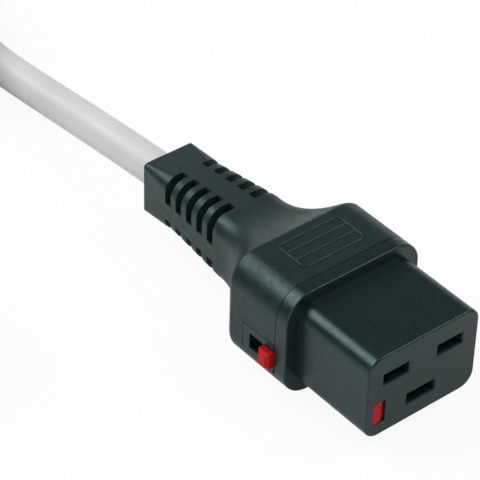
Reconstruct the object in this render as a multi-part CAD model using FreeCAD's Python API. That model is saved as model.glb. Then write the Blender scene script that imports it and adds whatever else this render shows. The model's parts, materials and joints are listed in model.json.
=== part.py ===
import FreeCAD, Part
import math
import os
from FreeCAD import Vector

# A C19 appliance connector with a release slider, on a 1.5 m lead with a C20 plug at its far end.
# Millimetres. +X is the direction in which the connector is pushed home, +Y is to the right as seen
# from in front, +Z is up. The origin is the middle of the grip's flat underside, which it rests on.

# ---- Driving dimensions ----

# Nose: the part that goes into the inlet.
NOSE_W = 29.0
NOSE_H = 20.3
NOSE_L = 21.05
NOSE_TOP_R = 3.4
NOSE_LOW_R = 3.5
NOSE_FACE_R = 0.4

# Grip block, with the insert's flange ring as its first slice, a little ahead of the origin.
RING_BACK_X = 5.8
GRIP_W = 35.0
GRIP_H = 25.6
GRIP_R = 6.4
BLOCK_L = 13.6
RING_L = 3.35
RING_EDGE_R = 0.35
RING_SEAM_BEVEL = 0.16
REAR_EDGE_R = 1.8

# Trumpet flare and strain relief behind the grip block.
FLARE_L = 16.2
BOOT_L = 27.8
BOOT_FRONT_W = 17.4
BOOT_FRONT_H = 16.4
BOOT_END_W = 13.2
BOOT_END_H = 13.0
BOOT_R = 3.8
BOOT_END_R = 1.0
BOOT_STEP_R = 0.6
BOOT_END_EDGE = 0.4
BOOT_SAG = 1.0
SLOT_ROWS = 5
SLOT_PITCH = 3.93
SLOT_L = 2.1
LAST_SLOT_GAP = 1.3
SPINE_W = 5.1
SPINE_H = 4.2
SPINE_DROP = 1.2
BOOT_WALL = 0.8
FLARE_SECTION_COUNT = 10
EDGE_SECTION_COUNT = 3
RIBBED_SECTION_COUNT = 4

# Contact slots in the face, for pins that are wider than they are thick.
PIN_W = 6.3
PIN_T = 2.0
PIN_SPACING = 14.1
PIN_ROW_UP = 4.0
PIN_ROW_DOWN = 4.7
LIVE_SLOT_W = 6.6
EARTH_SLOT_W = 7.5
SLOT_T = 2.6
SLOT_BEVEL = 0.25
FACE_WALL = 1.8
CHAMBER_W = 8.0
CHAMBER_H = 4.6

# The insert's rear block inside the grip, and the cap behind it.
TANG_STEP_W = 0.2
TANG_STEP_H = 0.65
TANG_R = 2.5
TANG_L = 11.6
CAP_T = 2.0

# Release slider: a rail beside the earth chamber, a stem and a side button.
RAIL_WALL = 1.75
RAIL_CHANNEL_W = 3.3
RAIL_DOWN = 4.2
RAIL_CHANNEL_H = 5.4
RAIL_GAP = 0.15
RAIL_RECESS = 0.05
RAIL_BEVEL_W = 1.6
RAIL_BEVEL_L = 0.5
RELEASE_TRAVEL = 3.0
BUTTON_L = 3.2
BUTTON_H = 3.9
BUTTON_PROUD = 1.9
BUTTON_BEVEL = 0.7
STEM_H = 3.4
WINDOW_L = 7.8
WINDOW_H = 3.8
COVER_BORDER = 1.75
COVER_REAR_BORDER = 2.2
COVER_GROOVE = 0.15
SPRING_POST_D = 1.7
SPRING_POST_L = 1.8
SPRING_D = 2.9
SPRING_WIRE = 0.36
SPRING_TURNS = 5
SPRING_POINTS_PER_TURN = 12

# Lock plate: a steel plate on the earth pin's path that binds while it is tilted.
LOCK_T = 0.8
LOCK_H = 6.0
LOCK_PIVOT_X = 23.0
LOCK_PIVOT_Y = 5.6
LOCK_BEAD_R = 0.7
LOCK_TONGUE_H = 2.6
LOCK_TONGUE_L = 1.2
LOCK_HOLE_GAP = 0.3
LOCK_ROOM = 0.35

# Socket contacts, folded from brass strip.
STRIP_T = 0.5
CONTACT_W = 6.0
CONTACT_H = 3.8
CONTACT_BOX_L = 7.0
CONTACT_LEAF_L = 15.0
EARTH_LEAF_L = 9.0
CONTACT_PINCH = 0.85
CONTACT_MOUTH = 1.35
BARREL_R = 1.55
BARREL_L = 5.5
BARREL_GAP = 0.6
LEAF_ROOT_SHARE = 0.3
LEAF_PINCH_SHARE = 0.8
TONGUE_NECK_SHARE = 0.6

# Cable.
CORD_D = 8.4
SHEATH_WALL = 0.95
CORE_D = 2.9
WIRE_D = 1.7
CORE_BEND = 6.0
MOULD_L = 16.7
MOULD_WALL = 1.6
MOULD_STEP = 1.2
MOULD_SECTION_COUNT = 4
CORE_BEND_SHARE = 0.4
CORE_END_GAP = 0.4
FIT = 0.05

# Where the lead runs: from the strain relief down to the bench, to the coil of its spare length.
LEAD_ROUTE = [
    (-65.0, 0.0, 10.85),
    (-92.0, 0.0, 7.95),
    (-115.0, 0.0, 5.5),
    (-129.5, 1.1, 4.8),
    (-147.0, 6.6, 5.5),
]
COIL_X = -161.4
COIL_Y = -38.0
COIL_MID_R = 42.0
COIL_STRANDS = 5
COIL_ENTRY_ANGLE = 90.0
COIL_TURNS = 4.5722
STRAND_START = -60.0
STRAND_STEP = -144.0
TIE_T = 1.1
TIE_W = 10.0
TIE_ANGLES = {"coil_tie_near": 130.0, "coil_tie_far": 235.0}
TAIL_ROUTE = [
    (-130.0, -77.4, 12.7),
    (-118.3, -74.7, 12.8),
]

# C20 plug on the far end.
PLUG_X = -107.0
PLUG_Y = -74.7
PLUG_BOOT_L = 17.0
PLUG_FLARE_L = 12.0
PLUG_BLOCK_L = 14.0
PLUG_SHROUD_L = 20.0
PLUG_SHROUD_W = 34.0
PLUG_SHROUD_H = 25.0
PLUG_SHROUD_R = 4.8
PLUG_SHROUD_FLOOR = 2.0
PLUG_ROOM = 0.4
PLUG_TANG_L = 11.0
PLUG_PIN_L = 15.5
PLUG_EARTH_LEAD = 1.5
PLUG_PIN_ROOT = 4.0
PLUG_PIN_TIP = 0.5
PLUG_SLOT_ROWS = 3

# ---- Places worked out from them ----

AXIS_Z = GRIP_H / 2
TANG_W = NOSE_W - 2 * TANG_STEP_W
TANG_H = NOSE_H - 2 * TANG_STEP_H
REAR_EDGE_X = RING_BACK_X - BLOCK_L
SHOULDER_X = RING_BACK_X + RING_L
FACE_X = SHOULDER_X + NOSE_L
FLARE_END_X = REAR_EDGE_X - FLARE_L
BOOT_END_X = FLARE_END_X - BOOT_L
TANG_BACK_X = RING_BACK_X - TANG_L
CAP_BACK_X = TANG_BACK_X - CAP_T
MOULD_BACK_X = CAP_BACK_X - MOULD_L
SHEATH_BEND_X = (MOULD_BACK_X + BOOT_END_X) / 2
CORE_FRONT_X = CAP_BACK_X - BARREL_GAP - BARREL_L - FIT
CORE_END_X = BOOT_END_X + CORE_END_GAP
CORD_R = CORD_D / 2
LIVE_Z = AXIS_Z + PIN_ROW_UP
EARTH_Z = AXIS_Z - PIN_ROW_DOWN
SIDE_Y = -GRIP_W / 2
COVER_T = (GRIP_W - TANG_W) / 2
RAIL_CHANNEL_Y = RAIL_WALL + RAIL_CHANNEL_W / 2 - NOSE_W / 2
RAIL_CHANNEL_Z = AXIS_Z - RAIL_DOWN
BUTTON_FRONT_X = RING_BACK_X - RAIL_GAP
BUTTON_BACK_X = BUTTON_FRONT_X - BUTTON_L
WINDOW_BACK_X = RING_BACK_X - WINDOW_L
COIL_BUNDLE_R = CORD_D / (2 * math.sin(math.pi / COIL_STRANDS))
COIL_SECTION_R = COIL_BUNDLE_R + CORD_R
COIL_Z = TIE_T + COIL_SECTION_R


# ---- Shape helpers ----

def box(x0, x1, y0, y1, z0, z1):
    return Part.makeBox(x1 - x0, y1 - y0, z1 - z0, Vector(x0, y0, z0))


def cylinder_x(x0, x1, y, z, radius):
    return Part.makeCylinder(radius, x1 - x0, Vector(x0, y, z), Vector(1, 0, 0))


def rounded_rect(x, width, height, top_r, low_r=None, y=0.0, z=AXIS_Z):
    """A closed wire across the axis at x: four sides and four corner arcs."""
    low_r = top_r if low_r is None else low_r
    corners = [
        (y + width / 2, z + height / 2, top_r, 0),
        (y - width / 2, z + height / 2, top_r, 90),
        (y - width / 2, z - height / 2, low_r, 180),
        (y + width / 2, z - height / 2, low_r, 270),
    ]
    arcs = []
    for cy, cz, r, start in corners:
        inward_y = -1 if cy > y else 1
        inward_z = -1 if cz > z else 1
        middle = (cy + inward_y * r, cz + inward_z * r)
        ends = [
            Vector(
                x,
                middle[0] + r * math.cos(math.radians(start + turn)),
                middle[1] + r * math.sin(math.radians(start + turn)),
            )
            for turn in (0, 45, 90)
        ]
        arcs.append(ends)
    edges = []
    for k, (first, mid, last) in enumerate(arcs):
        edges.append(Part.Arc(first, mid, last).toShape())
        edges.append(Part.LineSegment(last, arcs[(k + 1) % 4][0]).toShape())
    return Part.Wire(edges)


def prism(x0, x1, width, height, top_r, low_r=None, y=0.0, z=AXIS_Z):
    wire = rounded_rect(x0, width, height, top_r, low_r, y, z)
    return Part.Face(wire).extrude(Vector(x1 - x0, 0, 0))


def loft(wires, ruled=False):
    return Part.makeLoft(wires, True, ruled)


def flare_rise(run, rise, edge_r, along):
    """How far a flare has opened: one arc lifts it from level, and a smaller one levels it at the edge."""
    angle = 2 * math.atan(rise / run)
    hollow_r = run / math.sin(angle) - edge_r
    if along <= hollow_r * math.sin(angle):
        return hollow_r - math.sqrt(hollow_r * hollow_r - along * along)
    left = run - along
    return rise - edge_r + math.sqrt(max(edge_r * edge_r - left * left, 0.0))


def flare_stations(run, rise, edge_r, count):
    """Places along a flare: most on its hollow arc, the last ones on its rounded edge."""
    angle = 2 * math.atan(rise / run)
    hollow_run = run - edge_r * math.sin(angle)
    hollow_count = count - EDGE_SECTION_COUNT
    hollow = [hollow_run * k / (hollow_count - 1) for k in range(hollow_count)]
    turns = [angle * (1 - (k + 1) / EDGE_SECTION_COUNT) for k in range(EDGE_SECTION_COUNT)]
    return hollow + [run - edge_r * math.sin(turn) for turn in turns]


def joined(shapes):
    result = shapes[0]
    for shape in shapes[1:]:
        result = result.fuse(shape)
    return result.removeSplitter()


def path_wire(points, name, share=0.45):
    """Straight runs with tangent arcs between them. Returns the wire and prints the radii."""
    points = [Vector(*p) for p in points]
    edges = []
    radii = []
    start = points[0]
    for before, here, after in zip(points, points[1:], points[2:]):
        run_in = here - before
        run_out = after - here
        turn = run_in.getAngle(run_out)
        cut = share * min(run_in.Length, run_out.Length)
        radii.append(cut / math.tan(turn / 2))
        into = Vector(run_in).normalize()
        out = Vector(run_out).normalize()
        first = here - into * cut
        last = here + out * cut
        toward = (out - into).normalize()
        sagitta = radii[-1] / math.cos(turn / 2) - radii[-1]
        edges.append(Part.LineSegment(start, first).toShape())
        edges.append(Part.Arc(first, here + toward * sagitta, last).toShape())
        start = last
    edges.append(Part.LineSegment(start, points[-1]).toShape())
    wire = Part.Wire(edges)
    print(name, "length %.1f" % wire.Length, "radii", [round(r, 1) for r in radii])
    return wire


def tube(wire, radius):
    """A solid round bar along a wire."""
    start = wire.OrderedEdges[0]
    tangent = start.tangentAt(start.FirstParameter)
    section = Part.Wire(Part.makeCircle(radius, start.valueAt(start.FirstParameter), tangent))
    return wire.makePipeShell([section], True, False)


# ---- Moulded forms that the connector and the plug share ----

def sag_at(x, flare_end_x, boot_end_x, sag):
    """How far the strain relief's middle has bent down at x under the cable's weight."""
    share = min(max((flare_end_x - x) / (flare_end_x - boot_end_x), 0.0), 1.0)
    return sag * share * share


def boot_size(x, flare_end_x, boot_end_x):
    """Width and height of the strain relief at x."""
    share = (flare_end_x - x) / (flare_end_x - boot_end_x)
    width = BOOT_FRONT_W + (BOOT_END_W - BOOT_FRONT_W) * share
    height = BOOT_FRONT_H + (BOOT_END_H - BOOT_FRONT_H) * share
    return width, height


def boot_section(x, radius, flare_end_x, boot_end_x, sag, inset=0.0):
    width, height = boot_size(x, flare_end_x, boot_end_x)
    middle_z = AXIS_Z - sag_at(x, flare_end_x, boot_end_x, sag)
    return rounded_rect(x, width - 2 * inset, height - 2 * inset, radius, z=middle_z)


def grip_outside(rear_edge_x, block_front_x, flare_l, boot_l, rows, sag=0.0):
    """Grip block, trumpet flare and slotted strain relief, as one moulding."""
    flare_end_x = rear_edge_x - flare_l
    boot_end_x = flare_end_x - boot_l
    first_slot_x = flare_end_x - LAST_SLOT_GAP - (rows - 1) * SLOT_PITCH - SLOT_L

    block = prism(rear_edge_x, block_front_x, GRIP_W, GRIP_H, GRIP_R)

    rise_w = (GRIP_W - BOOT_FRONT_W) / 2
    rise_h = (GRIP_H - BOOT_FRONT_H) / 2
    wires = []
    for along in flare_stations(flare_l, rise_w, REAR_EDGE_R, FLARE_SECTION_COUNT):
        width = BOOT_FRONT_W + 2 * flare_rise(flare_l, rise_w, REAR_EDGE_R, along)
        height = BOOT_FRONT_H + 2 * flare_rise(flare_l, rise_h, REAR_EDGE_R, along)
        radius = BOOT_R + (GRIP_R - BOOT_R) * along / flare_l
        wires.append(rounded_rect(flare_end_x + along, width, height, radius))
    flare = joined([loft(wires[:-EDGE_SECTION_COUNT]), loft(wires[-EDGE_SECTION_COUNT - 1:])])

    ends = (flare_end_x, boot_end_x, sag)
    ribbed_x = [
        first_slot_x + (flare_end_x - first_slot_x) * k / (RIBBED_SECTION_COUNT - 1)
        for k in range(RIBBED_SECTION_COUNT)
    ]
    ribbed = loft([boot_section(x, BOOT_R, *ends) for x in ribbed_x], ruled=True)
    edge_x = boot_end_x + BOOT_END_EDGE
    end_block = loft(
        [
            boot_section(edge_x, BOOT_END_R, *ends),
            boot_section(first_slot_x, BOOT_R - BOOT_STEP_R, *ends),
        ],
        ruled=True,
    )
    end_edge = loft(
        [
            boot_section(boot_end_x, BOOT_END_R, *ends, inset=BOOT_END_EDGE),
            boot_section(edge_x, BOOT_END_R, *ends),
        ],
        ruled=True,
    )
    outside = joined([block, flare, ribbed, end_block, end_edge])
    return outside.cut(Part.makeCompound(boot_slots(first_slot_x, rows, *ends)))


def boot_slots(first_slot_x, rows, flare_end_x, boot_end_x, sag):
    """Slots that wrap the four corners, between a spine on each side and a core round the sheath."""
    reach = GRIP_W / 2
    core_r = CORD_R + BOOT_WALL
    slots = []
    for row in range(rows):
        x0 = first_slot_x + row * SLOT_PITCH
        x1 = x0 + SLOT_L
        middle_z = AXIS_Z - sag_at((x0 + x1) / 2, flare_end_x, boot_end_x, sag)
        spine_z = middle_z - SPINE_DROP
        slab = box(x0, x1, -reach, reach, middle_z - reach, middle_z + reach)
        keep = [
            box(x0, x1, -SPINE_W / 2, SPINE_W / 2, middle_z - reach, middle_z + reach),
            box(x0, x1, -reach, reach, spine_z - SPINE_H / 2, spine_z + SPINE_H / 2),
            cylinder_x(x0, x1, 0, middle_z, core_r),
        ]
        slots.append(slab.cut(keep))
    return slots


# ---- Connector ----

def pin_places():
    """Each contact's name with its place across the axis."""
    return {
        "line": (-PIN_SPACING / 2, LIVE_Z),
        "neutral": (PIN_SPACING / 2, LIVE_Z),
        "earth": (0.0, EARTH_Z),
    }


def rail_channel(x0, x1, gap=0.0):
    half_w = RAIL_CHANNEL_W / 2 - gap
    half_h = RAIL_CHANNEL_H / 2 - gap
    return box(
        x0,
        x1,
        RAIL_CHANNEL_Y - half_w,
        RAIL_CHANNEL_Y + half_w,
        RAIL_CHANNEL_Z - half_h,
        RAIL_CHANNEL_Z + half_h,
    )


def lock_angle():
    """The plate's tilt at rest: the slider's travel swings it square to the pin."""
    return math.asin(RELEASE_TRAVEL / lock_lever())


def lock_lever():
    return LOCK_PIVOT_Y - (RAIL_CHANNEL_Y + RAIL_CHANNEL_W / 2 - LOCK_TONGUE_L / 2)


def lock_bead(radius, half_h):
    """The rolled end that the plate swings on, or with a larger radius its seat."""
    low = Vector(LOCK_PIVOT_X, LOCK_PIVOT_Y, EARTH_Z - half_h)
    return Part.makeCylinder(radius, 2 * half_h, low)


def lock_cavity():
    """Room for the plate between square and fully tilted, ending in the seat of its bead."""
    half_h = LOCK_H / 2 + LOCK_ROOM
    front_x = LOCK_PIVOT_X + LOCK_T / 2 + RELEASE_TRAVEL + LOCK_ROOM
    back_x = LOCK_PIVOT_X - LOCK_T / 2 - LOCK_ROOM
    room = box(back_x, front_x, RAIL_CHANNEL_Y, LOCK_PIVOT_Y, EARTH_Z - half_h, EARTH_Z + half_h)
    return joined([room, lock_bead(LOCK_BEAD_R + FIT, half_h)])


def slot_lead_in(y, z, slot_w):
    """The bevel round a contact slot where it opens in the face."""
    rings = []
    for x, spread in ((FACE_X - SLOT_BEVEL, 0.0), (FACE_X, SLOT_BEVEL)):
        half_w = slot_w / 2 + spread
        half_h = SLOT_T / 2 + spread
        corners = [(-half_w, -half_h), (half_w, -half_h), (half_w, half_h), (-half_w, half_h)]
        points = [Vector(x, y + across, z + up) for across, up in corners]
        rings.append(Part.makePolygon(points + points[:1]))
    return loft(rings, ruled=True)


def front_insert():
    nose = prism(RING_BACK_X, FACE_X, NOSE_W, NOSE_H, NOSE_TOP_R, NOSE_LOW_R)
    rim = [e for e in nose.Edges if all(abs(v.X - FACE_X) < 1e-6 for v in e.Vertexes)]
    nose = nose.makeFillet(NOSE_FACE_R, rim)
    ring = prism(RING_BACK_X, SHOULDER_X, GRIP_W, GRIP_H, GRIP_R)
    rim = [e for e in ring.Edges if all(abs(v.X - SHOULDER_X) < 1e-6 for v in e.Vertexes)]
    ring = ring.makeFillet(RING_EDGE_R, rim)
    seam = [e for e in ring.Edges if all(abs(v.X - RING_BACK_X) < 1e-6 for v in e.Vertexes)]
    ring = ring.makeChamfer(RING_SEAM_BEVEL, seam)
    tang = prism(TANG_BACK_X, RING_BACK_X, TANG_W, TANG_H, TANG_R)
    body = joined([ring, nose, tang])

    cuts = [lock_cavity(), rail_channel(TANG_BACK_X, FACE_X)]
    for name, (y, z) in pin_places().items():
        slot_w = EARTH_SLOT_W if name == "earth" else LIVE_SLOT_W
        half_w = slot_w / 2
        cuts.append(box(TANG_BACK_X, FACE_X, y - half_w, y + half_w, z - SLOT_T / 2, z + SLOT_T / 2))
        cuts.append(slot_lead_in(y, z, slot_w))
        front_x = LOCK_PIVOT_X if name == "earth" else FACE_X - FACE_WALL
        half_w = CHAMBER_W / 2
        half_h = CHAMBER_H / 2
        cuts.append(box(TANG_BACK_X, front_x, y - half_w, y + half_w, z - half_h, z + half_h))
    low_z = RAIL_CHANNEL_Z - STEM_H / 2 - RAIL_GAP
    high_z = RAIL_CHANNEL_Z + STEM_H / 2 + RAIL_GAP
    cuts.append(box(TANG_BACK_X, RING_BACK_X, SIDE_Y, RAIL_CHANNEL_Y, low_z, high_z))
    return body.cut(cuts)


def cover_outline(inset=0.0):
    """The side opening that the cover fills."""
    half_h = WINDOW_H / 2 + COVER_BORDER - inset
    return box(
        WINDOW_BACK_X - COVER_REAR_BORDER + inset,
        RING_BACK_X - inset,
        SIDE_Y - 1.0,
        SIDE_Y + COVER_T,
        RAIL_CHANNEL_Z - half_h,
        RAIL_CHANNEL_Z + half_h,
    )


def slider_cover():
    """A frame flush with the grip's side, round the window that the button runs in."""
    plate = cover_outline(COVER_GROOVE).common(
        box(REAR_EDGE_X, SHOULDER_X, SIDE_Y, SIDE_Y + COVER_T - FIT, 0, GRIP_H)
    )
    low_z = RAIL_CHANNEL_Z - WINDOW_H / 2
    high_z = RAIL_CHANNEL_Z + WINDOW_H / 2
    return plate.cut(box(WINDOW_BACK_X, SHOULDER_X, SIDE_Y - 1, SIDE_Y + COVER_T, low_z, high_z))


def lock_slider():
    rail = rail_channel(BUTTON_BACK_X, FACE_X - RAIL_RECESS, RAIL_GAP)
    inner_y = RAIL_CHANNEL_Y + RAIL_CHANNEL_W / 2 - RAIL_GAP
    front_x = FACE_X - RAIL_RECESS
    bevel = Part.Face(
        Part.makePolygon(
            [
                Vector(front_x, inner_y - RAIL_BEVEL_W, 0),
                Vector(front_x + 1, inner_y - RAIL_BEVEL_W, 0),
                Vector(front_x + 1, inner_y + 1, 0),
                Vector(front_x - RAIL_BEVEL_L, inner_y + 1, 0),
                Vector(front_x - RAIL_BEVEL_L, inner_y, 0),
                Vector(front_x, inner_y - RAIL_BEVEL_W, 0),
            ]
        )
    ).extrude(Vector(0, 0, GRIP_H))
    post = cylinder_x(
        BUTTON_BACK_X - SPRING_POST_L, BUTTON_BACK_X, RAIL_CHANNEL_Y, RAIL_CHANNEL_Z, SPRING_POST_D / 2
    )
    stem = box(
        BUTTON_BACK_X,
        BUTTON_FRONT_X,
        SIDE_Y - BUTTON_PROUD / 2,
        RAIL_CHANNEL_Y,
        RAIL_CHANNEL_Z - STEM_H / 2,
        RAIL_CHANNEL_Z + STEM_H / 2,
    )
    head = box(
        BUTTON_BACK_X,
        BUTTON_FRONT_X,
        SIDE_Y - BUTTON_PROUD,
        SIDE_Y - RAIL_GAP,
        RAIL_CHANNEL_Z - BUTTON_H / 2,
        RAIL_CHANNEL_Z + BUTTON_H / 2,
    )
    outer = [e for e in head.Edges if all(abs(v.Y - (SIDE_Y - BUTTON_PROUD)) < 1e-6 for v in e.Vertexes)]
    head = head.makeChamfer(BUTTON_BEVEL, outer)
    notch_y = inner_y - LOCK_TONGUE_L - LOCK_ROOM
    tongue_x = LOCK_PIVOT_X + RELEASE_TRAVEL
    notch_half = (LOCK_T + LOCK_TONGUE_L * math.sin(lock_angle())) / 2 + LOCK_ROOM
    notch = box(tongue_x - notch_half, tongue_x + notch_half, notch_y, inner_y + 1, 0, GRIP_H)
    return joined([rail.cut([bevel, notch]), post, stem, head])


def slider_spring():
    """A compression spring from the rear cap to the slider, a smooth sweep through points on its helix."""
    radius = (SPRING_D - SPRING_WIRE) / 2
    start_x = TANG_BACK_X + FIT + SPRING_WIRE / 2
    travel = BUTTON_BACK_X - FIT - SPRING_WIRE / 2 - start_x
    steps = SPRING_TURNS * SPRING_POINTS_PER_TURN
    points = []
    for k in range(steps + 1):
        angle = 2 * math.pi * k / SPRING_POINTS_PER_TURN
        y = RAIL_CHANNEL_Y + radius * math.cos(angle)
        z = RAIL_CHANNEL_Z + radius * math.sin(angle)
        points.append(Vector(start_x + travel * k / steps, y, z))
    curve = Part.BSplineCurve()
    curve.interpolate(points)
    return tube(Part.Wire(curve.toShape()), SPRING_WIRE / 2)


def lock_plate():
    """Modelled square, then swung to its tilt about the pivot."""
    end_y = RAIL_CHANNEL_Y + RAIL_CHANNEL_W / 2 + LOCK_ROOM
    x0 = LOCK_PIVOT_X - LOCK_T / 2
    x1 = LOCK_PIVOT_X + LOCK_T / 2
    plate = box(x0, x1, end_y, LOCK_PIVOT_Y, EARTH_Z - LOCK_H / 2, EARTH_Z + LOCK_H / 2)
    tongue = box(
        x0,
        x1,
        RAIL_CHANNEL_Y + RAIL_CHANNEL_W / 2 - RAIL_GAP - LOCK_TONGUE_L,
        end_y,
        RAIL_CHANNEL_Z - LOCK_TONGUE_H / 2,
        RAIL_CHANNEL_Z + LOCK_TONGUE_H / 2,
    )
    half_w = PIN_W / 2 + LOCK_HOLE_GAP
    half_h = PIN_T / 2 + LOCK_HOLE_GAP
    hole = box(x0, x1, -half_w, half_w, EARTH_Z - half_h, EARTH_Z + half_h)
    plate = joined([plate, tongue, lock_bead(LOCK_BEAD_R, LOCK_H / 2)]).cut(hole)
    plate.rotate(Vector(LOCK_PIVOT_X, LOCK_PIVOT_Y, 0), Vector(0, 0, 1), math.degrees(lock_angle()))
    return plate


def leaf(x_root, length, side):
    """One spring leaf, from the contact's box to its flared mouth, drawn from the side."""
    root = CONTACT_H / 2 - STRIP_T
    inner = [
        (x_root, root),
        (x_root + LEAF_ROOT_SHARE * length, root),
        (x_root + LEAF_PINCH_SHARE * length, CONTACT_PINCH),
        (x_root + length, CONTACT_MOUTH),
    ]
    outer = [(x, z + STRIP_T) for x, z in reversed(inner)]
    points = [Vector(x, -CONTACT_W / 2, side * z) for x, z in inner + outer]
    return Part.Face(Part.makePolygon(points + points[:1])).extrude(Vector(0, CONTACT_W, 0))


def socket_contact(name):
    """Two leaves on a folded box, a tongue behind it and a barrel crimped round the wire."""
    y, z = pin_places()[name]
    leaf_l = EARTH_LEAF_L if name == "earth" else CONTACT_LEAF_L
    tip_x = LOCK_PIVOT_X - LOCK_T - LOCK_ROOM if name == "earth" else FACE_X - FACE_WALL - LOCK_ROOM
    box_front_x = tip_x - leaf_l
    box_back_x = box_front_x - CONTACT_BOX_L
    half_w = CONTACT_W / 2
    half_h = CONTACT_H / 2
    shell = box(box_back_x, box_front_x, -half_w, half_w, -half_h, half_h).cut(
        box(box_back_x, box_front_x, STRIP_T - half_w, half_w - STRIP_T, STRIP_T - half_h, half_h - STRIP_T)
    )
    barrel_x = CAP_BACK_X - BARREL_GAP
    tongue = Part.Face(
        Part.makePolygon(
            [
                Vector(box_back_x, -half_w, -half_h),
                Vector(box_back_x - half_w, -BARREL_R, -half_h),
                Vector(barrel_x - BARREL_R, -BARREL_R * TONGUE_NECK_SHARE, -half_h),
                Vector(barrel_x - BARREL_R, BARREL_R * TONGUE_NECK_SHARE, -half_h),
                Vector(box_back_x - half_w, BARREL_R, -half_h),
                Vector(box_back_x, half_w, -half_h),
                Vector(box_back_x, -half_w, -half_h),
            ]
        )
    ).extrude(Vector(0, 0, STRIP_T))
    barrel_z = BARREL_R - half_h
    barrel = cylinder_x(barrel_x - BARREL_L, barrel_x, 0, barrel_z, BARREL_R)
    bore = cylinder_x(barrel_x - BARREL_L, barrel_x, 0, barrel_z, WIRE_D / 2 + FIT)
    leaves = [leaf(box_front_x, leaf_l, side) for side in (1, -1)]
    contact = joined([shell, tongue, barrel] + leaves).cut(bore)
    contact.translate(Vector(0, y, z))
    return contact


def barrel_places():
    """Where each core leaves its barrel, and where it lies in the sheath."""
    spread = CORE_D / math.sqrt(3) + FIT
    angles = {"line": 150.0, "neutral": 30.0, "earth": 270.0}
    places = {}
    for name, (y, z) in pin_places().items():
        angle = math.radians(angles[name])
        inside = (spread * math.cos(angle), AXIS_Z + spread * math.sin(angle))
        places[name] = ((y, z + BARREL_R - CONTACT_H / 2), inside)
    return places


def core_path(name):
    """From behind the barrel straight back, across to the cable's lay, and on inside the sheath."""
    (y0, z0), (y1, z1) = barrel_places()[name]
    bend_x = CORE_FRONT_X - CORE_BEND / 2
    return path_wire(
        [
            (CORE_FRONT_X, y0, z0),
            (bend_x, y0, z0),
            (MOULD_BACK_X + CORE_BEND / 3, y1, z1),
            (SHEATH_BEND_X, y1, z1),
            (CORE_END_X, y1, z1 - BOOT_SAG),
        ],
        name + " core",
        share=CORE_BEND_SHARE,
    )


def bared_end(name, radius):
    """The stripped end of a wire, which the contact's barrel is crimped on."""
    (y, z), _ = barrel_places()[name]
    return cylinder_x(CORE_FRONT_X, CAP_BACK_X - BARREL_GAP, y, z, radius)


def core_tube(name):
    path = core_path(name)
    return tube(path, CORE_D / 2).cut(tube(path, WIRE_D / 2 + FIT))


def core_wire(name):
    return joined([tube(core_path(name), WIRE_D / 2), bared_end(name, WIRE_D / 2)])


def core_room(name):
    """The space that a core and the wire in its barrel take up in the inner mould."""
    return tube(core_path(name), CORE_D / 2 + FIT).fuse(bared_end(name, WIRE_D / 2 + FIT))


def rear_cap():
    plate = prism(CAP_BACK_X, TANG_BACK_X, TANG_W, TANG_H, TANG_R)
    holes = []
    for y, z in pin_places().values():
        half = CONTACT_H / 2 + FIT
        reach = BARREL_R + FIT
        holes.append(box(CAP_BACK_X, TANG_BACK_X, y - reach, y + reach, z - half, z + half))
    return plate.cut(holes)


def mould_sections(gap=0.0):
    """The hard first shot narrows inside the flare by the same arcs, one wall further in."""
    front_w = TANG_W - 2 * MOULD_STEP
    front_h = TANG_H - 2 * MOULD_STEP
    sections = [rounded_rect(CAP_BACK_X, front_w + gap, front_h + gap, TANG_R)]
    back_w = BOOT_FRONT_W - 2 * MOULD_WALL
    back_h = BOOT_FRONT_H - 2 * MOULD_WALL
    run = CAP_BACK_X - MOULD_BACK_X
    for k in range(MOULD_SECTION_COUNT):
        along = run * (MOULD_SECTION_COUNT - 1 - k) / MOULD_SECTION_COUNT
        width = back_w + 2 * flare_rise(run, (front_w - back_w) / 2, 0.0, along)
        height = back_h + 2 * flare_rise(run, (front_h - back_h) / 2, 0.0, along)
        sections.append(rounded_rect(MOULD_BACK_X + along, width + gap, height + gap, TANG_R))
    return sections


def inner_mould(contacts):
    body = loft(mould_sections(), ruled=True).cut(contacts)
    for name in pin_places():
        body = body.cut(core_room(name))
    return body


def sheath_path(past_end=0.0):
    """The cable's middle inside the strain relief, which sags with it."""
    slope = BOOT_SAG / (SHEATH_BEND_X - BOOT_END_X)
    return path_wire(
        [
            (MOULD_BACK_X, 0.0, AXIS_Z),
            (SHEATH_BEND_X, 0.0, AXIS_Z),
            (BOOT_END_X - past_end, 0.0, AXIS_Z - BOOT_SAG - slope * past_end),
        ],
        "sheath_end",
        share=CORE_BEND_SHARE,
    )


def sheath_end():
    """The cable's sheath inside the strain relief, round the three cores."""
    path = sheath_path(past_end=-FIT)
    return tube(path, CORD_R).cut(tube(path, CORD_R - SHEATH_WALL))


def grip():
    outside = grip_outside(REAR_EDGE_X, RING_BACK_X, FLARE_L, BOOT_L, SLOT_ROWS, BOOT_SAG)
    cuts = [
        prism(CAP_BACK_X - FIT, RING_BACK_X, TANG_W + 2 * FIT, TANG_H + 2 * FIT, TANG_R),
        loft(mould_sections(2 * FIT), ruled=True),
        tube(sheath_path(past_end=SLOT_L), CORD_R + FIT),
        cover_outline(),
    ]
    return outside.cut(cuts)


# ---- Lead ----

def strand_place(turns):
    """Where the cord lies in the coil after so many turns: it winds round the bundle's middle."""
    around = math.radians(COIL_ENTRY_ANGLE + 360.0 * turns)
    lay = math.radians(STRAND_START + STRAND_STEP * turns)
    radius = COIL_MID_R + COIL_BUNDLE_R * math.cos(lay)
    return (
        COIL_X + radius * math.cos(around),
        COIL_Y + radius * math.sin(around),
        COIL_Z + COIL_BUNDLE_R * math.sin(lay),
    )


def lead_points():
    return [(BOOT_END_X, 0.0, AXIS_Z - BOOT_SAG)] + LEAD_ROUTE + [strand_place(0.0)]


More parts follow.
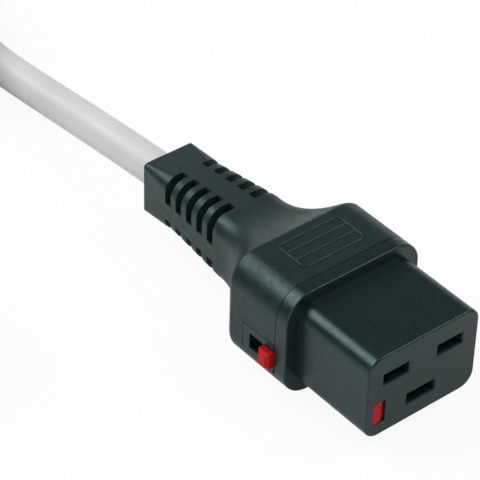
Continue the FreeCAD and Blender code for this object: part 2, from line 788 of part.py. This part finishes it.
def tail_points():
    return [strand_place(COIL_TURNS)] + TAIL_ROUTE + [(PLUG_X, PLUG_Y, AXIS_Z)]


def cord_coil():
    return Part.makeTorus(COIL_MID_R, COIL_SECTION_R, Vector(COIL_X, COIL_Y, COIL_Z), Vector(0, 0, 1))


def coil_tie(angle):
    """A hook-and-loop strap round the bundle of turns."""
    centre = Vector(COIL_X, COIL_Y, COIL_Z)
    at = centre + Vector(COIL_MID_R, 0, 0)
    outer = Part.Wire(Part.makeCircle(COIL_SECTION_R + TIE_T, at, Vector(0, 1, 0)))
    inner = Part.Wire(Part.makeCircle(COIL_SECTION_R + FIT, at, Vector(0, 1, 0)))
    ring = Part.Face(outer).cut(Part.Face(inner))
    turn = math.degrees(TIE_W / COIL_MID_R)
    band = ring.Faces[0].revolve(centre, Vector(0, 0, 1), turn)
    band.rotate(centre, Vector(0, 0, 1), angle - turn / 2)
    return band


# ---- Plug, modelled along the connector's axis and then moved to its place ----

def plug_places():
    block_back = PLUG_BOOT_L + PLUG_FLARE_L
    block_front = block_back + PLUG_BLOCK_L
    return block_back, block_front, block_front + PLUG_SHROUD_L


def place_plug(shape):
    shape.translate(Vector(PLUG_X, PLUG_Y, 0))
    return shape


def plug_insert_core(gap=0.0):
    _, block_front, _ = plug_places()
    return prism(block_front - PLUG_TANG_L - gap, block_front, TANG_W + 2 * gap, TANG_H + 2 * gap, TANG_R)


def plug_grip():
    block_back, block_front, _ = plug_places()
    outside = grip_outside(block_back, block_front, PLUG_FLARE_L, PLUG_BOOT_L, PLUG_SLOT_ROWS)
    return place_plug(outside.cut(plug_insert_core(FIT)))


def plug_insert():
    _, block_front, rim = plug_places()
    shroud = prism(block_front, rim, PLUG_SHROUD_W, PLUG_SHROUD_H, PLUG_SHROUD_R)
    room = prism(
        block_front + PLUG_SHROUD_FLOOR,
        rim,
        NOSE_W + 2 * PLUG_ROOM,
        NOSE_H + 2 * PLUG_ROOM,
        NOSE_TOP_R + PLUG_ROOM,
        NOSE_LOW_R + PLUG_ROOM,
    )
    body = joined([shroud, plug_insert_core()]).cut(room)
    sockets = [plug_pin_shape(name) for name in pin_places()]
    return place_plug(body.cut(sockets))


def plug_pin_shape(name):
    """A flat pin with a rounded tip. Seen from in front the plug mirrors the socket."""
    _, block_front, _ = plug_places()
    y, z = pin_places()[name]
    length = PLUG_PIN_L + (PLUG_EARTH_LEAD if name == "earth" else 0.0)
    tip_x = block_front + PLUG_SHROUD_FLOOR + length
    blade = box(
        block_front - PLUG_PIN_ROOT, tip_x, -y - PIN_W / 2, -y + PIN_W / 2, z - PIN_T / 2, z + PIN_T / 2
    )
    tip = [e for e in blade.Edges if all(abs(v.X - tip_x) < 1e-6 for v in e.Vertexes)]
    return blade.makeChamfer(PLUG_PIN_TIP, tip)


# ---- Build ----

def build():
    nodes = {}
    nodes["front_insert"] = front_insert()
    nodes["rear_cap"] = rear_cap()
    nodes["slider_cover"] = slider_cover()
    nodes["lock_slider"] = lock_slider()
    nodes["slider_spring"] = slider_spring()
    nodes["lock_plate"] = lock_plate()
    contacts = []
    for name in pin_places():
        nodes[name + "_contact"] = socket_contact(name)
        nodes[name + "_core"] = core_tube(name)
        nodes[name + "_wire"] = core_wire(name)
        contacts.append(nodes[name + "_contact"])
    nodes["inner_mould"] = inner_mould(contacts)
    nodes["sheath_end"] = sheath_end()
    nodes["grip"] = grip()
    nodes["cord_lead"] = tube(path_wire(lead_points(), "cord_lead"), CORD_R)
    nodes["cord_tail"] = tube(path_wire(tail_points(), "cord_tail"), CORD_R)
    nodes["cord_coil"] = cord_coil()
    for name, angle in TIE_ANGLES.items():
        nodes[name] = coil_tie(angle)
    nodes["plug_grip"] = plug_grip()
    nodes["plug_insert"] = plug_insert()
    for name in pin_places():
        nodes["plug_" + name + "_pin"] = place_plug(plug_pin_shape(name))
    return nodes


os.makedirs("parts", exist_ok=True)
for node, shape in build().items():
    solids = shape.Solids
    if len(solids) == 1:
        shape = solids[0]
    print(node, "valid", shape.isValid(), "solids", len(solids), "volume %.1f" % shape.Volume)
    shape.exportStep("parts/" + node + ".step")
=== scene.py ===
import json
import math

import bpy
from mathutils import Matrix, Vector


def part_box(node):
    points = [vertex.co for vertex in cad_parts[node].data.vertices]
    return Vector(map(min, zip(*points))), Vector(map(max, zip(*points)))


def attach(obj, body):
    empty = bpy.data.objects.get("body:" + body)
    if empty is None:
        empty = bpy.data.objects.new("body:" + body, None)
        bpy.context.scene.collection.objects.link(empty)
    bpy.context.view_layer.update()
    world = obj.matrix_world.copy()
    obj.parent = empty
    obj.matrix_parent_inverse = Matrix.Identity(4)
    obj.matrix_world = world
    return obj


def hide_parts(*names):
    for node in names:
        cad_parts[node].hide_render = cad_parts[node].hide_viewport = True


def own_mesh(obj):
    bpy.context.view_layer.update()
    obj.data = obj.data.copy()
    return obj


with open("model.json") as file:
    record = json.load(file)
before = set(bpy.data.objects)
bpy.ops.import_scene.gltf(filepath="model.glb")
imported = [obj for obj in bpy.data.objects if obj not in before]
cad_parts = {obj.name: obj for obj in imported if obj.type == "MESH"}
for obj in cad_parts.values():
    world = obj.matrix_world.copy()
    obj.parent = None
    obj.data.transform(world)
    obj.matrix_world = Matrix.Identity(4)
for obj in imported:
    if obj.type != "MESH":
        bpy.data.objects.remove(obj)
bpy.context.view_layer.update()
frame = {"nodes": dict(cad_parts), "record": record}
nodes = frame["nodes"]

MM = 0.001


# ---- Helpers ----

def link(item):
    """Puts a new object into the scene."""
    bpy.context.scene.collection.objects.link(item)


def round_curve(name, places, radius, smoothness):
    """A NURBS curve led by the given places, round in section and closed at its ends."""
    data = bpy.data.curves.new(name, "CURVE")
    data.dimensions = "3D"
    spline = data.splines.new("NURBS")
    spline.points.add(len(places) - 1)
    for point, place in zip(spline.points, places):
        point.co = (*place, 1.0)
        point.radius = radius
    spline.order_u = 3
    spline.use_endpoint_u = True
    spline.resolution_u = smoothness
    data.bevel_depth = 1.0
    data.bevel_resolution = smoothness
    data.use_fill_caps = True
    curve = bpy.data.objects.new(name, data)
    link(curve)
    return curve


def mesh_piece(name, corners, faces):
    """A piece of the connector made of corners and faces."""
    mesh = bpy.data.meshes.new(name)
    mesh.from_pydata(corners, [], faces)
    mesh.update()
    piece = bpy.data.objects.new(name, mesh)
    link(piece)
    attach(piece, "connector")
    return piece


# ---- Camera: where the picture was taken from, in degrees and metres ----

CAMERA_PLACE = (0.27632, -0.25396, 0.32900)
CAMERA_TURN = 50.03
CAMERA_RISE = 38.89
CAMERA_ROLL = 1.577
SENSOR_MM = 36.0
LENS_MM = 180.5
NEAREST = 0.01
FARTHEST = 20.0


def camera_axes():
    """Right, up and backward directions of the camera."""
    turn, rise, roll = (math.radians(a) for a in (CAMERA_TURN, CAMERA_RISE, CAMERA_ROLL))
    back = Vector((math.sin(turn) * math.cos(rise), -math.cos(turn) * math.cos(rise), math.sin(rise)))
    level = Vector((math.cos(turn), math.sin(turn), 0.0))
    above = back.cross(level)
    right = level * math.cos(roll) + above * math.sin(roll)
    up = above * math.cos(roll) - level * math.sin(roll)
    return right, up, back


def make_camera():
    data = bpy.data.cameras.new("view_camera")
    data.sensor_width = SENSOR_MM
    data.lens = LENS_MM
    data.clip_start = NEAREST
    data.clip_end = FARTHEST
    camera = bpy.data.objects.new("view_camera", data)
    link(camera)
    right, up, back = camera_axes()
    turned = Matrix((right, up, back)).transposed()
    camera.matrix_world = Matrix.Translation(CAMERA_PLACE) @ turned.to_4x4()
    bpy.context.scene.camera = camera


# ---- The cord, as the CAD part has it, in metres and degrees ----

CORD_D = 8.4 * MM
CORD_SMOOTHNESS = 8
LEAD_ROUTE = [
    (-0.0518, 0.0, 0.01180),
    (-0.0650, 0.0, 0.01085),
    (-0.0920, 0.0, 0.00795),
    (-0.1150, 0.0, 0.00550),
    (-0.1295, 0.0011, 0.00480),
    (-0.1470, 0.0066, 0.00550),
]
TAIL_ROUTE = [
    (-0.1300, -0.0774, 0.0127),
    (-0.1183, -0.0747, 0.0128),
    (-0.1070, -0.0747, 0.0128),
]
COIL_CENTRE = (-0.1614, -0.0380)
COIL_MID_R = 42.0 * MM
COIL_STRANDS = 5
COIL_TURNS = 4.5722
COIL_ENTRY_ANGLE = 90.0
STRAND_START = -60.0
STRAND_STEP = -144.0
POINTS_PER_TURN = 24
TIE_T = 1.1 * MM
BUNDLE_R = CORD_D / (2 * math.sin(math.pi / COIL_STRANDS))
COIL_Z = TIE_T + BUNDLE_R + CORD_D / 2


def strand_place(turns):
    """Where the cord lies in the coil after so many turns."""
    around = math.radians(COIL_ENTRY_ANGLE + 360.0 * turns)
    lay = math.radians(STRAND_START + STRAND_STEP * turns)
    radius = COIL_MID_R + BUNDLE_R * math.cos(lay)
    return (
        COIL_CENTRE[0] + radius * math.cos(around),
        COIL_CENTRE[1] + radius * math.sin(around),
        COIL_Z + BUNDLE_R * math.sin(lay),
    )


def make_cord():
    """The cord as one spline from the strain relief through the coil to the plug."""
    steps = round(COIL_TURNS * POINTS_PER_TURN)
    coil = [strand_place(COIL_TURNS * k / steps) for k in range(steps + 1)]
    cord = round_curve("grey_lead", LEAD_ROUTE + coil + TAIL_ROUTE, CORD_D / 2, CORD_SMOOTHNESS)
    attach(cord, "connector")
    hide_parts("cord_lead", "cord_coil", "cord_tail")
    return cord


# ---- Moulded trim on the grip ----

PANEL_X = (-5.9 * MM, 2.6 * MM)
PANEL_Y = (-7.6 * MM, 8.4 * MM)
PANEL_TOP_Z = 25.6 * MM
PANEL_CORNER_R = 1.2 * MM
PANEL_CORNER_STEPS = 6
PANEL_DIVIDERS = (-3.1 * MM, -0.3 * MM)
RIDGE_HALF_W = 0.21 * MM
RIDGE_H = 0.13 * MM
RIDGE_SINK = 0.05 * MM
# One half of a ridge's section, from foot to crest, as offsets across and up from the surface.
RIDGE_HALF = (
    (RIDGE_HALF_W, -RIDGE_SINK),
    (0.75 * RIDGE_HALF_W, 0.6 * RIDGE_H),
    (0.3 * RIDGE_HALF_W, RIDGE_H),
)
RIDGE_SECTION = RIDGE_HALF + tuple((-across, up) for across, up in reversed(RIDGE_HALF))
DOT_R = 0.42 * MM
DOT_H = 0.14 * MM
DOT_SINK = 0.05 * MM
DOT_STEPS = 16
# The rings of a dot, as radius and height over the surface.
DOT_RINGS = (
    (DOT_R, -DOT_SINK),
    (0.8 * DOT_R, 0.55 * DOT_H),
    (0.45 * DOT_R, 0.9 * DOT_H),
)
TOP_DOTS = ((-0.04564, -0.00116, 0.01907), (-0.04454, -0.00220, 0.01920))
SIDE_DOT = (-0.03664, -0.00774, 0.01119)


def rounded_path(x_range, y_range, radius, steps):
    """Places and outward directions round a rectangle with rounded corners, anticlockwise."""
    path = []
    corners = (
        (x_range[1] - radius, y_range[1] - radius, 0.0),
        (x_range[0] + radius, y_range[1] - radius, 90.0),
        (x_range[0] + radius, y_range[0] + radius, 180.0),
        (x_range[1] - radius, y_range[0] + radius, 270.0),
    )
    for cx, cy, start in corners:
        for k in range(steps + 1):
            angle = math.radians(start + 90.0 * k / steps)
            out = (math.cos(angle), math.sin(angle))
            path.append(((cx + radius * out[0], cy + radius * out[1]), out))
    return path


def ridge_loop(name, path, top_z):
    """A ridge that runs once round a closed path."""
    count = len(RIDGE_SECTION)
    corners = []
    for (x, y), out in path:
        for across, up in RIDGE_SECTION:
            corners.append((x + out[0] * across, y + out[1] * across, top_z + up))
    faces = []
    for k in range(len(path)):
        after = (k + 1) % len(path)
        for j in range(count - 1):
            faces.append((k * count + j, after * count + j, after * count + j + 1, k * count + j + 1))
    return mesh_piece(name, corners, faces)


def ridge_line(name, x, y_range, top_z):
    """A straight ridge along Y, closed at both ends."""
    count = len(RIDGE_SECTION)
    corners = [(x + across, y, top_z + up) for y in y_range for across, up in RIDGE_SECTION]
    faces = [(j, j + 1, count + j + 1, count + j) for j in range(count - 1)]
    faces += [tuple(range(count - 1, -1, -1)), tuple(range(count, 2 * count))]
    return mesh_piece(name, corners, faces)


def make_panel():
    """A bare framed panel where such a connector carries its moulded rating."""
    outline = rounded_path(PANEL_X, PANEL_Y, PANEL_CORNER_R, PANEL_CORNER_STEPS)
    pieces = [ridge_loop("panel_frame", outline, PANEL_TOP_Z)]
    for k, x in enumerate(PANEL_DIVIDERS, 1):
        pieces.append(ridge_line("panel_divider_%d" % k, x, PANEL_Y, PANEL_TOP_Z))
    return pieces


def moulded_dot(name, centre, outward):
    """A low round dot that stands on a surface facing outward."""
    centre = Vector(centre)
    outward = Vector(outward)
    first = outward.orthogonal().normalized()
    second = outward.cross(first)
    corners = []
    for radius, height in DOT_RINGS:
        for k in range(DOT_STEPS):
            angle = 2 * math.pi * k / DOT_STEPS
            across = first * math.cos(angle) + second * math.sin(angle)
            corners.append(centre + across * radius + outward * height)
    crest = len(corners)
    last_ring = crest - DOT_STEPS
    corners.append(centre + outward * DOT_H)
    faces = []
    for ring in range(0, last_ring, DOT_STEPS):
        for k in range(DOT_STEPS):
            after = (k + 1) % DOT_STEPS
            faces.append((ring + k, ring + after, ring + DOT_STEPS + after, ring + DOT_STEPS + k))
    for k in range(DOT_STEPS):
        faces.append((last_ring + k, last_ring + (k + 1) % DOT_STEPS, crest))
    piece = mesh_piece(name, corners, faces)
    piece.data.shade_smooth()
    return piece


def make_dots():
    """Bare dots where the moulding has its tool marks."""
    up = (0.0, 0.0, 1.0)
    near_side = (0.0, -1.0, 0.0)
    dots = [moulded_dot("mould_dot_%d" % k, place, up) for k, place in enumerate(TOP_DOTS, 1)]
    return dots + [moulded_dot("mould_dot_3", SIDE_DOT, near_side)]


# ---- The slider's spring, which is squeezed as the slider goes back ----

SPRING_WIRE_R = 0.18 * MM
SPRING_TURNS = 5
SPRING_POINTS_PER_TURN = 12
SPRING_SMOOTHNESS = 3


def helix_places(low, high):
    """Places on the spring's wire, along X in the box between two corners."""
    mid_y = (low[1] + high[1]) / 2
    mid_z = (low[2] + high[2]) / 2
    radius = (high[2] - low[2]) / 2 - SPRING_WIRE_R
    start_x = low[0] + SPRING_WIRE_R
    run = high[0] - low[0] - 2 * SPRING_WIRE_R
    steps = SPRING_TURNS * SPRING_POINTS_PER_TURN
    places = []
    for k in range(steps + 1):
        angle = 2 * math.pi * k / SPRING_POINTS_PER_TURN
        y = mid_y + radius * math.cos(angle)
        z = mid_z + radius * math.sin(angle)
        places.append((start_x + run * k / steps, y, z))
    return places


def make_spring():
    """A wire helix in place of the plain spring, as a mesh."""
    low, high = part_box("slider_spring")
    wire = round_curve("spring_line", helix_places(low, high), SPRING_WIRE_R, SPRING_SMOOTHNESS)
    bpy.context.view_layer.update()
    mesh = bpy.data.meshes.new_from_object(wire)
    bpy.data.objects.remove(wire)
    mesh.shade_smooth()
    spring = bpy.data.objects.new("release_spring", mesh)
    link(spring)
    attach(spring, "connector")
    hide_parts("slider_spring")
    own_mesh(spring)
    return spring


# ---- Materials: noise scales are per metre, bump heights are in metres ----

EVEN = (1.0, 1.0, 1.0)
DRAWN_ALONG_X = (0.1, 1.0, 1.0)
COLOUR_DETAIL = 4.0
ROUGHNESS_DETAIL = 3.0
# Nearly all of the noise lies between these two values.
NOISE_LOW = 0.3
NOISE_HIGH = 0.7


def math_node(tree, operation, first, second):
    """A math node's output; each of its two inputs is a number or another node's output."""
    node = tree.nodes.new("ShaderNodeMath")
    node.operation = operation
    for socket, value in zip(node.inputs, (first, second)):
        if isinstance(value, float):
            socket.default_value = value
        else:
            tree.links.new(value, socket)
    return node.outputs["Value"]


class Surface:
    """A node material built up one effect at a time, in object space."""

    def __init__(self, name, colour, roughness, **inputs):
        self.material = bpy.data.materials.new(name)
        self.material.use_nodes = True
        self.tree = self.material.node_tree
        self.shader = self.tree.nodes["Principled BSDF"]
        self.shader.inputs["Base Color"].default_value = (*colour, 1.0)
        self.shader.inputs["Roughness"].default_value = roughness
        for key, value in inputs.items():
            self.shader.inputs[key.replace("_", " ")].default_value = value
        self.place = self.tree.nodes.new("ShaderNodeTexCoord").outputs["Object"]
        self.bump = None

    def noise(self, scale, detail, stretch):
        mapping = self.tree.nodes.new("ShaderNodeMapping")
        mapping.inputs["Scale"].default_value = stretch
        self.tree.links.new(self.place, mapping.inputs["Vector"])
        noise = self.tree.nodes.new("ShaderNodeTexNoise")
        noise.inputs["Scale"].default_value = scale
        noise.inputs["Detail"].default_value = detail
        self.tree.links.new(mapping.outputs["Vector"], noise.inputs["Vector"])
        return noise.outputs["Fac"]

    def colour_by(self, factor, low, high, start=NOISE_LOW, end=NOISE_HIGH):
        """Takes the base colour from low to high as the factor goes from start to end."""
        ramp = self.tree.nodes.new("ShaderNodeValToRGB")
        ramp.color_ramp.elements[0].position = start
        ramp.color_ramp.elements[0].color = (*low, 1.0)
        ramp.color_ramp.elements[1].position = end
        ramp.color_ramp.elements[1].color = (*high, 1.0)
        self.tree.links.new(factor, ramp.inputs["Fac"])
        self.tree.links.new(ramp.outputs["Color"], self.shader.inputs["Base Color"])

    def vary_colour(self, scale, low, high):
        self.colour_by(self.noise(scale, COLOUR_DETAIL, EVEN), low, high)

    def vary_roughness(self, scale, low, high):
        spread = self.tree.nodes.new("ShaderNodeMapRange")
        spread.inputs["From Min"].default_value = NOISE_LOW
        spread.inputs["From Max"].default_value = NOISE_HIGH
        spread.inputs["To Min"].default_value = low
        spread.inputs["To Max"].default_value = high
        self.tree.links.new(self.noise(scale, ROUGHNESS_DETAIL, EVEN), spread.inputs["Value"])
        self.tree.links.new(spread.outputs["Result"], self.shader.inputs["Roughness"])

    def add_bump(self, scale, height, strength, detail=2.0, stretch=EVEN):
        """Lays one more layer of bump over those added before."""
        bump = self.tree.nodes.new("ShaderNodeBump")
        bump.inputs["Strength"].default_value = strength
        bump.inputs["Distance"].default_value = height
        self.tree.links.new(self.noise(scale, detail, stretch), bump.inputs["Height"])
        if self.bump:
            self.tree.links.new(self.bump, bump.inputs["Normal"])
        self.bump = bump.outputs["Normal"]
        self.tree.links.new(self.bump, self.shader.inputs["Normal"])


def shade(colour, factor):
    """The colour made darker or lighter."""
    return tuple(c * factor for c in colour)


# Base colours, and the cool tint of the black plastics' gloss.
HARD = (0.0071, 0.0166, 0.0166)
SOFT = (0.0085, 0.0185, 0.0185)
RED = (0.50, 0.005, 0.009)
SHEATH = (0.66, 0.652, 0.652)
COOL = (0.66, 0.95, 0.95, 1.0)


def hard_black():
    surface = Surface("hard_black_nylon", HARD, 0.31, Specular_IOR_Level=0.5, Specular_Tint=COOL)
    surface.vary_colour(60.0, low=shade(HARD, 0.85), high=shade(HARD, 1.15))
    surface.vary_roughness(700.0, low=0.27, high=0.38)
    surface.add_bump(4200.0, height=0.04 * MM, strength=0.5)
    surface.add_bump(2800.0, height=0.05 * MM, strength=0.3)
    return surface.material


def soft_black():
    surface = Surface("soft_black_overmould", SOFT, 0.40, Specular_IOR_Level=0.5, Specular_Tint=COOL)
    surface.vary_colour(50.0, low=shade(SOFT, 0.85), high=shade(SOFT, 1.15))
    surface.vary_roughness(600.0, low=0.36, high=0.48)
    surface.add_bump(3600.0, height=0.06 * MM, strength=0.6)
    surface.add_bump(2600.0, height=0.06 * MM, strength=0.35)
    return surface.material


def release_red():
    surface = Surface("red_nylon", RED, 0.45, Specular_IOR_Level=0.15)
    surface.vary_colour(90.0, low=shade(RED, 0.9), high=shade(RED, 1.1))
    surface.vary_roughness(300.0, low=0.40, high=0.52)
    surface.add_bump(2500.0, height=0.03 * MM, strength=0.3)
    return surface.material


def sheath_grey():
    """Slightly wavy, with a fine grain."""
    surface = Surface("grey_cable_sheath", SHEATH, 0.42)
    surface.vary_colour(35.0, low=shade(SHEATH, 0.94), high=shade(SHEATH, 1.05))
    surface.vary_roughness(90.0, low=0.36, high=0.50)
    surface.add_bump(75.0, height=1.0 * MM, strength=0.6)
    surface.add_bump(900.0, height=0.04 * MM, strength=0.3)
    return surface.material


def inner_natural():
    surface = Surface("natural_first_shot", (0.70, 0.66, 0.55), 0.5)
    surface.vary_colour(80.0, low=(0.64, 0.60, 0.49), high=(0.74, 0.70, 0.60))
    surface.add_bump(1500.0, height=0.04 * MM, strength=0.3)
    return surface.material


def contact_brass():
    surface = Surface("stamped_brass", (0.60, 0.42, 0.18), 0.40, Metallic=1.0)
    surface.vary_colour(120.0, low=(0.52, 0.36, 0.15), high=(0.68, 0.49, 0.22))
    surface.vary_roughness(400.0, low=0.34, high=0.5)
    return surface.material


def pin_nickel():
    surface = Surface("nickelled_pin", (0.70, 0.68, 0.62), 0.26, Metallic=1.0)
    surface.vary_colour(90.0, low=(0.64, 0.62, 0.56), high=(0.74, 0.72, 0.66))
    surface.vary_roughness(500.0, low=0.20, high=0.36)
    surface.add_bump(700.0, height=0.02 * MM, strength=0.3, stretch=DRAWN_ALONG_X)
    return surface.material


def spring_steel():
    surface = Surface("spring_steel", (0.55, 0.55, 0.55), 0.3, Metallic=1.0)
    surface.vary_colour(150.0, low=(0.48, 0.48, 0.49), high=(0.62, 0.62, 0.62))
    surface.vary_roughness(500.0, low=0.24, high=0.4)
    return surface.material


def copper_strand():
    surface = Surface("copper_strand", (0.80, 0.42, 0.26), 0.35, Metallic=1.0)
    surface.vary_colour(300.0, low=(0.70, 0.34, 0.20), high=(0.85, 0.48, 0.30))
    surface.vary_roughness(600.0, low=0.3, high=0.45)
    return surface.material


def insulation(name, colour):
    surface = Surface(name, colour, 0.45)
    surface.vary_roughness(200.0, low=0.4, high=0.5)
    return surface


def core_brown():
    surface = insulation("brown_insulation", (0.16, 0.07, 0.03))
    surface.vary_colour(60.0, low=(0.14, 0.06, 0.025), high=(0.18, 0.08, 0.035))
    return surface.material


def core_blue():
    surface = insulation("blue_insulation", (0.02, 0.10, 0.45))
    surface.vary_colour(60.0, low=(0.018, 0.09, 0.40), high=(0.024, 0.11, 0.50))
    return surface.material


def core_green_yellow():
    """Green on one side of the wire's middle plane and yellow on the other."""
    surface = insulation("green_yellow_insulation", (0.05, 0.35, 0.06))
    split = surface.tree.nodes.new("ShaderNodeSeparateXYZ")
    surface.tree.links.new(surface.place, split.inputs["Vector"])
    yellow_side = math_node(surface.tree, "GREATER_THAN", split.outputs["Y"], 0.0)
    surface.colour_by(yellow_side, low=(0.05, 0.32, 0.06), high=(0.75, 0.62, 0.03), start=0.4, end=0.6)
    return surface.material


def tie_fabric():
    surface = Surface("hook_and_loop", (0.018, 0.018, 0.018), 0.9)
    surface.vary_colour(900.0, low=(0.010, 0.010, 0.010), high=(0.035, 0.035, 0.035))
    surface.add_bump(1800.0, height=0.4 * MM, strength=0.8, detail=6.0)
    return surface.material


MATERIAL_MAKERS = {
    "hard_black": hard_black,
    "soft_black": soft_black,
    "release_red": release_red,
    "sheath_grey": sheath_grey,
    "inner_natural": inner_natural,
    "contact_brass": contact_brass,
    "pin_nickel": pin_nickel,
    "spring_steel": spring_steel,
    "copper_strand": copper_strand,
    "core_brown": core_brown,
    "core_blue": core_blue,
    "core_green_yellow": core_green_yellow,
    "tie_fabric": tie_fabric,
}


def dress(materials):
    """Gives every CAD node the material of its slot."""
    for entry in frame["record"]["subparts"]:
        mesh = nodes[entry["node"]].data
        mesh.materials.clear()
        mesh.materials.append(materials[entry["material_slot"]])


# ---- Stage ----

FLOOR_SIZE = 6.0
FLOOR_COLOUR = (0.90, 0.90, 0.90, 1.0)
FLOOR_ROUGHNESS = 0.8
# The shares of the floor that show as a white sheet to the camera and in the object's gloss,
# and how bright the sheet is in the gloss.
SHEET_SHARE = 0.92
GLOSS_SHARE = 0.20
SHEET_IN_GLOSS = 0.88
SKY_COLOUR = (0.12, 0.13, 0.13, 1.0)


def show_as_sheet(material, surface):
    """Shows most of a surface as plain white to the camera, and part of it so in the gloss."""
    tree = material.node_tree
    path = tree.nodes.new("ShaderNodeLightPath")
    direct = math_node(tree, "MAXIMUM", path.outputs["Is Camera Ray"], path.outputs["Is Transmission Ray"])
    in_gloss = path.outputs["Is Glossy Ray"]
    glow = tree.nodes.new("ShaderNodeEmission")
    gloss_level = math_node(tree, "MULTIPLY", in_gloss, SHEET_IN_GLOSS)
    tree.links.new(math_node(tree, "MAXIMUM", direct, gloss_level), glow.inputs["Strength"])
    direct_share = math_node(tree, "MULTIPLY", direct, SHEET_SHARE)
    gloss_share = math_node(tree, "MULTIPLY", in_gloss, GLOSS_SHARE)
    mix = tree.nodes.new("ShaderNodeMixShader")
    tree.links.new(math_node(tree, "MAXIMUM", direct_share, gloss_share), mix.inputs["Fac"])
    tree.links.new(surface, mix.inputs[1])
    tree.links.new(glow.outputs["Emission"], mix.inputs[2])
    tree.links.new(mix.outputs["Shader"], tree.nodes["Material Output"].inputs["Surface"])


def make_floor():
    bpy.ops.mesh.primitive_plane_add(size=FLOOR_SIZE, location=(0.0, 0.0, 0.0))
    floor = bpy.context.object
    floor.name = "pale_floor"
    material = bpy.data.materials.new("pale_floor")
    material.use_nodes = True
    shader = material.node_tree.nodes["Principled BSDF"]
    shader.inputs["Base Color"].default_value = FLOOR_COLOUR
    shader.inputs["Roughness"].default_value = FLOOR_ROUGHNESS
    show_as_sheet(material, shader.outputs["BSDF"])
    floor.data.materials.append(material)


def make_sky():
    world = bpy.data.worlds.new("studio")
    bpy.context.scene.world = world
    world.use_nodes = True
    sky = world.node_tree.nodes["Background"]
    sky.inputs["Color"].default_value = SKY_COLOUR
    sky.inputs["Strength"].default_value = 1.0


# ---- Lights: name, direction from the origin, distance, width and height in metres, and watts ----

LIGHTS = (
    ("edge_light", (-0.60, -0.37, 0.715), 1.0, (0.60, 0.60), 6.5),
    ("fill_light", (0.45, -0.85, 0.22), 1.0, (0.8, 0.8), 3.8),
    ("key_light", (0.30, 0.50, 0.81), 1.0, (0.5, 0.5), 4.0),
    ("back_light", (-0.74, 0.64, 0.20), 0.9, (0.9, 0.35), 0.7),
)


def add_light(name, direction, distance, size, power):
    """A rectangular soft light that faces the origin from a direction."""
    data = bpy.data.lights.new(name, "AREA")
    data.shape = "RECTANGLE"
    data.size, data.size_y = size
    data.energy = power
    lamp = bpy.data.objects.new(name, data)
    link(lamp)
    toward = Vector(direction).normalized()
    lamp.location = toward * distance
    lamp.rotation_euler = toward.to_track_quat("Z", "Y").to_euler()


# ---- Build ----

make_camera()
materials = {slot: make() for slot, make in MATERIAL_MAKERS.items()}
dress(materials)
make_cord().data.materials.append(materials["sheath_grey"])
for piece in make_panel() + make_dots():
    piece.data.materials.append(materials["soft_black"])
make_spring().data.materials.append(materials["spring_steel"])
make_floor()
make_sky()
for light in LIGHTS:
    add_light(*light)

scene = bpy.context.scene
scene.view_settings.view_transform = "Standard"
